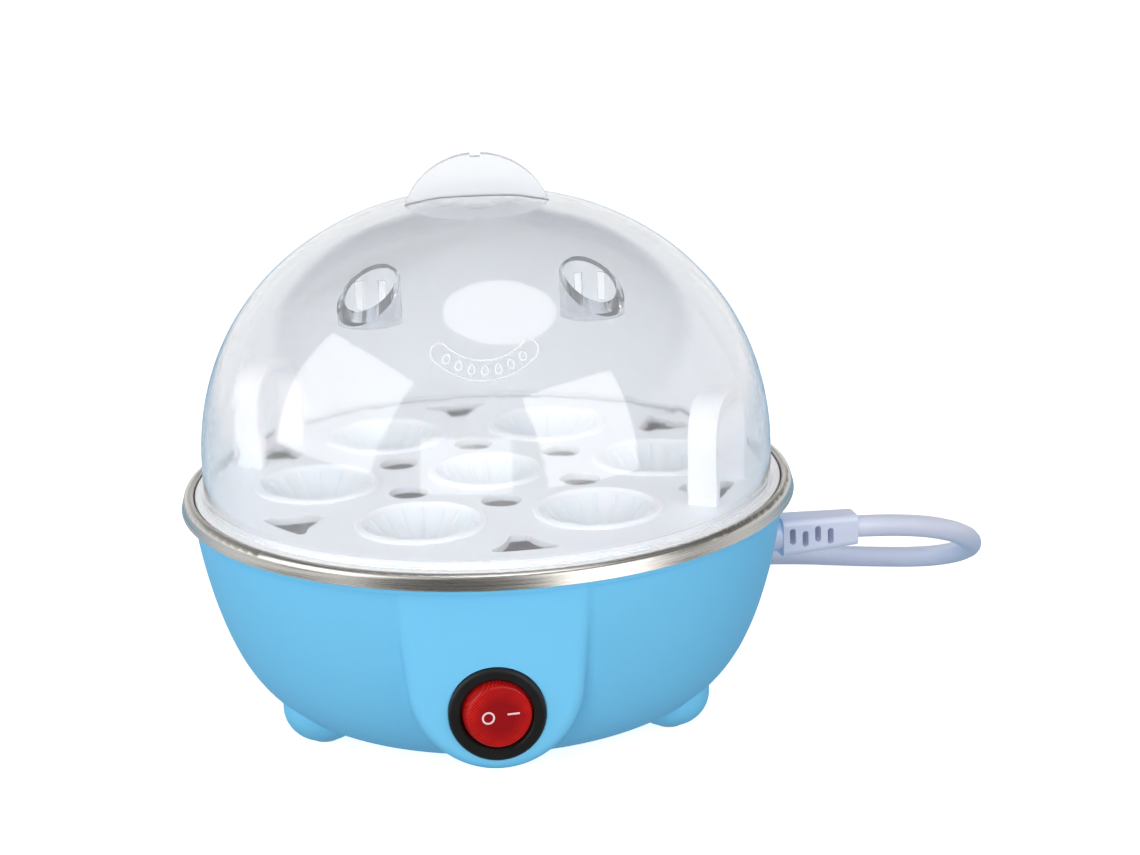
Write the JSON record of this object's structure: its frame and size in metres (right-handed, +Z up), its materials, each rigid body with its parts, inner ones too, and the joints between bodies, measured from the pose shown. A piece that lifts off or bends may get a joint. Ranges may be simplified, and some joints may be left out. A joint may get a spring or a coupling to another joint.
{
  "type": "egg cooker",
  "caption": "Round countertop egg steamer with a bowl-shaped housing, front rocker switch, steel pan, lift-out egg tray and clear domed lid.",
  "frame": {"origin": "on the resting surface, under the axis of the round body", "axes": "+Z up along the body's axis, -Y towards the switch at the front, +X towards the lead's exit"},
  "size_m": [0.2193, 0.2526, 0.1472],
  "materials": {
    "sky_blue_pp": "satin moulded polypropylene",
    "white_pp": "satin moulded polypropylene",
    "clear_ps": "clear moulded polystyrene, lightly frosted",
    "stainless": "spun and brushed stainless steel",
    "aluminium": "pressed aluminium sheet",
    "element_sheath": "drawn aluminium tube, heat dulled",
    "zinc_steel": "zinc plated steel",
    "brass": "stamped brass, tin flashed",
    "black_nylon": "fine textured nylon",
    "red_pc": "translucent red polycarbonate",
    "lamp_glass": "neon lamp glass",
    "bakelite": "moulded phenolic",
    "ceramic": "steatite ceramic",
    "silicone": "silicone rubber",
    "pad_rubber": "soft grey rubber",
    "lead_pvc": "satin lavender PVC",
    "tie_nylon": "woven hook and loop strap",
    "wire_red": "PVC wire insulation",
    "wire_blue": "PVC wire insulation",
    "wire_white": "glass sleeved silicone wire"
  },
  "bodies": {
    "base": {"housing": "sky_blue_pp", "rim_gasket": "silicone", "foot_pads": "pad_rubber", "bottom_cover": "sky_blue_pp", "pan_posts": "zinc_steel", "cover_screws": "zinc_steel", "heating_pan": "stainless", "heat_spreader": "aluminium", "heating_element": "element_sheath", "element_seals": "ceramic", "element_terminals": "zinc_steel", "thermostat": "bakelite", "thermostat_bracket": "zinc_steel", "bracket_screws": "zinc_steel", "thermal_fuse": "brass", "fuse_clip": "zinc_steel", "switch_body": "black_nylon", "rocker_pin": "zinc_steel", "switch_lamp": "lamp_glass", "switch_terminals": "brass", "strain_relief": "lead_pvc", "inner_lead": "lead_pvc", "cord_clamp": "white_pp", "clamp_screws": "zinc_steel", "neutral_crimp": "white_pp", "wire_live": "wire_red", "wire_neutral": "wire_blue", "wire_lamp": "wire_blue", "wire_switched": "wire_red", "wire_thermostat": "wire_white", "wire_fuse": "wire_white", "wire_element": "wire_blue", "cord_tube": "lead_pvc", "cord_coil": "lead_pvc", "cord_tie": "tie_nylon", "plug_body": "lead_pvc", "plug_blades": "brass"},
    "rocker": {"switch_rocker": "red_pc"},
    "tray": {"egg_tray": "white_pp"},
    "lid": {"lid": "clear_ps"}
  },
  "joints": [
    {"name": "tray_lift", "type": "slide", "parent": "base", "child": "tray", "axis": [0, 0, 1], "range_m": [0, 0.06]},
    {"name": "lid_lift", "type": "slide", "parent": "tray", "child": "lid", "axis": [0, 0, 1], "range_m": [0, 0.12]},
    {"name": "switch_rock", "type": "hinge", "parent": "base", "child": "rocker", "pos_m": [0, -0.0752, 0.025], "axis": [0, 0, 1], "range_deg": [-20, 0]}
  ]
}
